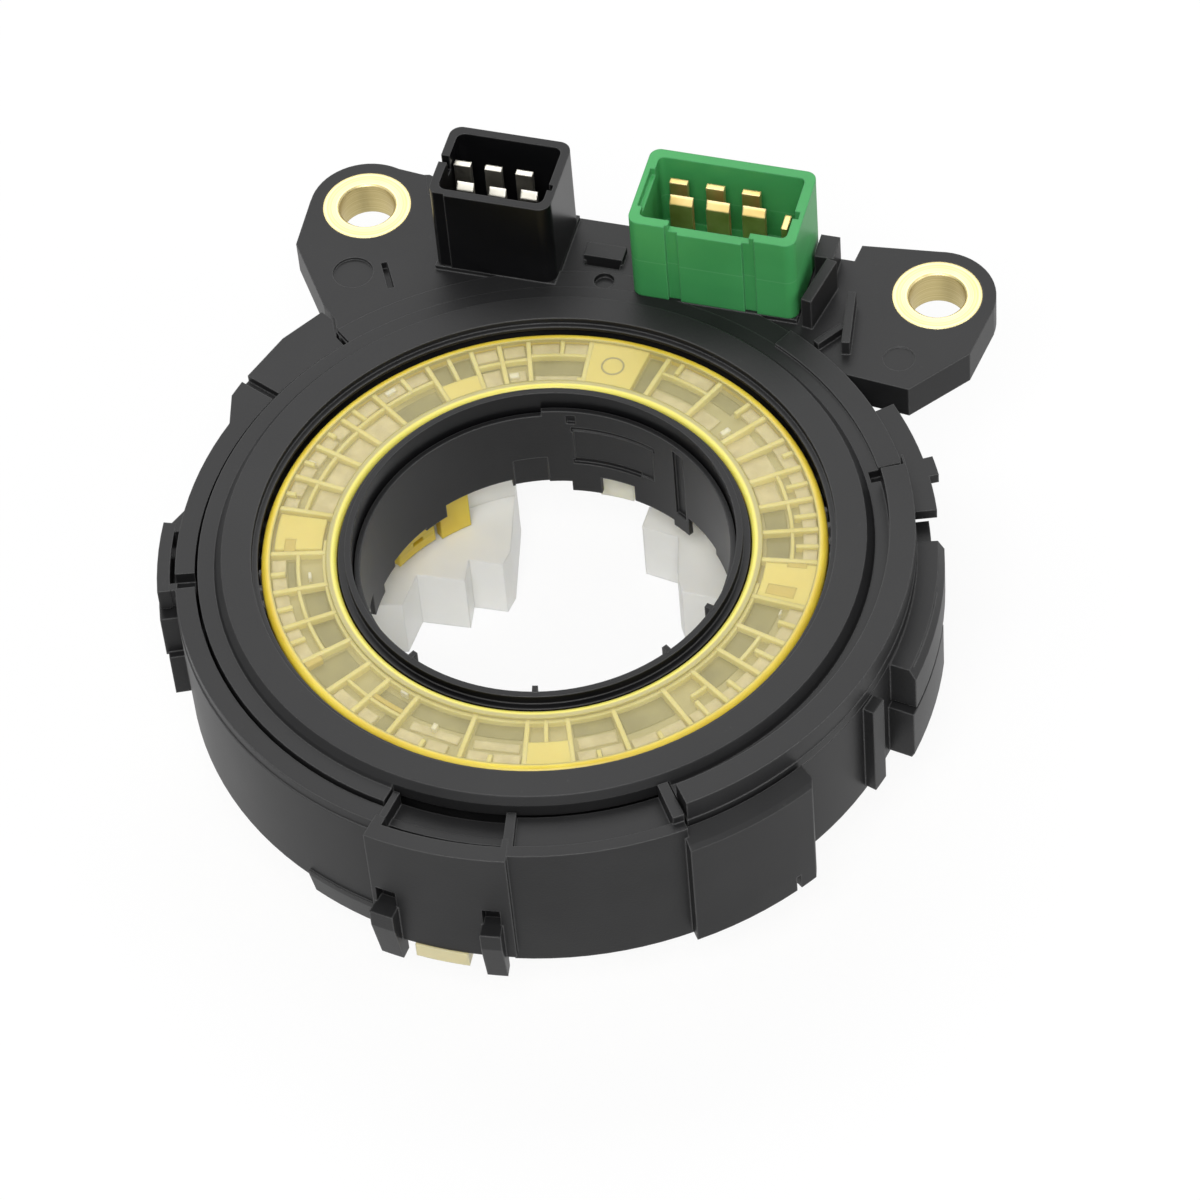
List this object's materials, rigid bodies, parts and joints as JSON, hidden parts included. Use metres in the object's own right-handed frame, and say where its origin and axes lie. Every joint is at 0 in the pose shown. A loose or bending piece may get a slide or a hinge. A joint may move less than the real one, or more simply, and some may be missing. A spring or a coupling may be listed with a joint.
{
  "type": "steering angle sensor",
  "caption": "Column-mounted spiral cable cassette with steering angle sensing: ribbed amber rotor in a black drum, two mounting ears, a black header and a green header.",
  "frame": {"origin": "on the axis of the column bore, in the plane of the front faces of the two ears", "axes": "+Z along the bore axis towards the steering column, out of the rear cover and the header mouths; +Y from the bore axis towards the ears; +X to the right with the headers at the top and the rear cover facing the viewer"},
  "size_m": [0.0967, 0.1081, 0.0467],
  "materials": {
    "black_moulding": "satin moulded polyamide",
    "black_gloss": "glossy moulded",
    "green_moulding": "satin moulded",
    "amber": "translucent moulded",
    "white_moulding": "satin moulded",
    "natural_moulding": "natural polyamide",
    "brass": "turned",
    "tinned": "tin plated",
    "gilt": "gold plated",
    "board": "solder masked",
    "chips": "moulded packages",
    "cable": "polyester film over copper",
    "sheet": "slip film",
    "magnet": "sintered"
  },
  "bodies": {
    "stator": {"rear_cover": "black_moulding", "drum_housing": "black_moulding", "front_cover": "natural_moulding", "bush_left": "brass", "bush_right": "brass", "black_header": "black_gloss", "black_header_pins": "tinned", "green_header": "green_moulding", "green_header_pins": "gilt", "green_side_contact": "gilt", "sensor_board": "board", "sensor_chips": "chips", "terminal_carrier": "natural_moulding", "flat_cable": "cable", "upper_slip_sheet": "sheet"},
    "rotor": {"rotor_ring": "amber", "hub_sleeve": "black_moulding", "inner_sleeve": "black_moulding", "drive_gear": "white_moulding", "rotor_plate": "white_moulding", "lower_slip_sheet": "sheet", "cable_clip": "natural_moulding", "airbag_pins": "gilt", "switch_pins": "tinned"},
    "measuring_gear_a": {"gear_a": "white_moulding", "magnet_a": "magnet"},
    "measuring_gear_b": {"gear_b": "white_moulding", "magnet_b": "magnet"}
  },
  "joints": [
    {"name": "rotor_turn", "type": "hinge", "parent": "stator", "child": "rotor", "pos_m": [0, 0, 0], "axis": [0, 0, 1], "range_deg": [-900, 900]},
    {"name": "gear_a_turn", "type": "hinge", "parent": "stator", "child": "measuring_gear_a", "pos_m": [-0.0099, 0.04287, 0], "axis": [0, 0, 1], "range_deg": [-3600, 3600]},
    {"name": "gear_b_turn", "type": "hinge", "parent": "stator", "child": "measuring_gear_b", "pos_m": [0.00972, 0.04209, 0], "axis": [0, 0, 1], "range_deg": [-3960, 3960]}
  ],
  "couplings": [
    {"joint": "gear_a_turn", "follows": "rotor_turn", "ratio": -4},
    {"joint": "gear_b_turn", "follows": "rotor_turn", "ratio": -4.4}
  ]
}
